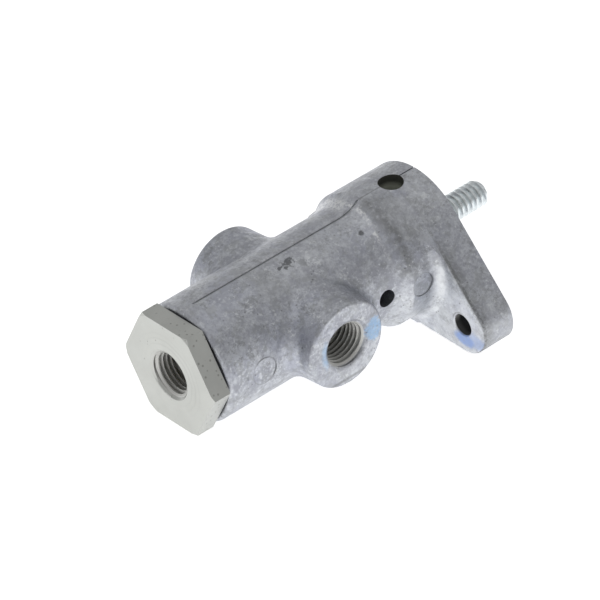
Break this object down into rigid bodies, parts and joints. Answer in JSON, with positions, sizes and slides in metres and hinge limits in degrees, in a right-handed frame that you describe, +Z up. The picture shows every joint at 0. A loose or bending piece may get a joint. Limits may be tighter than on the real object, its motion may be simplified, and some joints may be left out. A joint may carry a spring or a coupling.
{
  "type": "pneumatic plunger control valve",
  "caption": "Die-cast air control valve with a hexagonal inlet cap, side ports, a triangular mounting flange and a sprung plunger with a threaded stud.",
  "frame": {"origin": "centre of the mounting face, where the plunger's axis crosses it", "axes": "+X along the plunger's axis out of the mounting face, -Y towards the front side port, +Z up towards the flange's apex"},
  "size_m": [0.1131, 0.073, 0.0419],
  "materials": {
    "cast_aluminium": "die-cast, mottled matt grey",
    "machined_aluminium": "fine turned, matt light grey",
    "zinc_plated_steel": "bright zinc plate",
    "spring_steel": "oiled spring wire",
    "brass": "turned",
    "nitrile_rubber": "moulded matt black",
    "gasket_fibre": "compressed sheet gasket",
    "acetal": "turned natural plastic"
  },
  "bodies": {
    "casing": {"valve_body": "cast_aluminium", "end_cap": "machined_aluminium", "end_cap_gasket": "gasket_fibre", "inlet_screen": "brass", "inlet_spring": "spring_steel", "inlet_valve_cage": "acetal", "inlet_seat": "brass", "inlet_seat_oring": "nitrile_rubber", "spring_seat_washer": "zinc_plated_steel", "return_spring": "spring_steel", "guide_bush": "machined_aluminium", "stem_wiper": "nitrile_rubber", "bush_snap_ring": "spring_steel"},
    "plunger_assembly": {"plunger": "brass", "plunger_front_oring": "nitrile_rubber", "plunger_rear_oring": "nitrile_rubber", "plunger_stud": "zinc_plated_steel", "stud_pin": "spring_steel", "spring_retainer": "zinc_plated_steel", "retainer_clip": "spring_steel"},
    "inlet_poppet": {"inlet_valve_carrier": "brass", "inlet_valve_disc": "nitrile_rubber"}
  },
  "joints": [
    {"name": "plunger_slide", "type": "slide", "parent": "casing", "child": "plunger_assembly", "axis": [-1, 0, 0], "range_m": [0, 0.0055], "stiffness_N_per_m": 750, "springref_m": -0.0077, "deforming": ["return_spring"]},
    {"name": "poppet_slide", "type": "slide", "parent": "casing", "child": "inlet_poppet", "axis": [-1, 0, 0], "range_m": [0, 0.0031], "stiffness_N_per_m": 400, "springref_m": -0.004, "deforming": ["inlet_spring"]}
  ],
  "couplings": [
    {"joint": "poppet_slide", "follows": "plunger_slide", "ratio": 0.56364}
  ]
}
